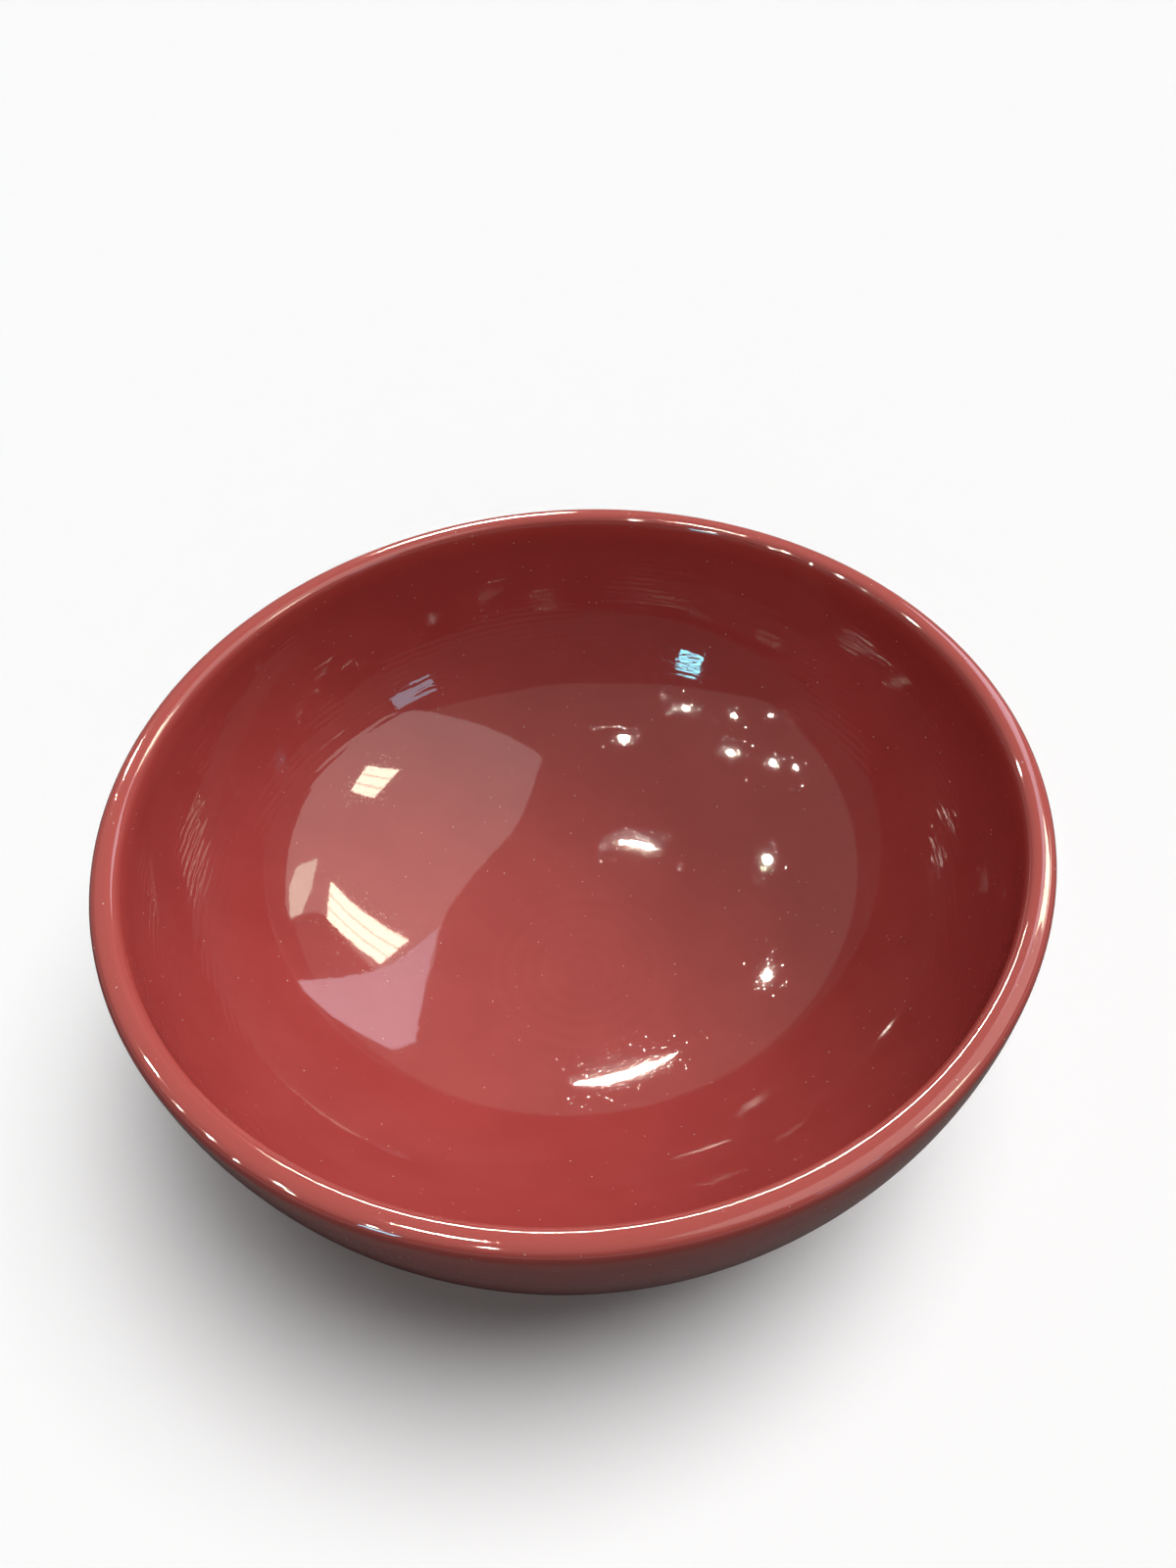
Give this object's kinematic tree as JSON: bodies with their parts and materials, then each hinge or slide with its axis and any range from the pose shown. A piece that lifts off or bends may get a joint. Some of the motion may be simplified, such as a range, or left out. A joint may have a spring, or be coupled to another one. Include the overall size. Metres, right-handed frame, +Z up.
{
  "type": "footed bowl",
  "caption": "Round deep stoneware bowl on a low turned foot ring, with a thick rounded lip and a red gloss glaze inside and out.",
  "frame": {"origin": "centre of the foot ring's pad, on the surface that the bowl stands on", "axes": "+Z up along the bowl's axis of turning; X and Y are alike"},
  "size_m": [0.15, 0.15, 0.066],
  "materials": {
    "stoneware": "bare, fine turned",
    "slip": "bare",
    "red_glaze": "gloss"
  },
  "bodies": {
    "root": {"thrown_bowl": "stoneware", "foot_ring": "stoneware", "joining_slip": "slip", "inside_glaze": "red_glaze", "outside_glaze": "red_glaze", "underside_glaze": "red_glaze"}
  },
  "joints": []
}
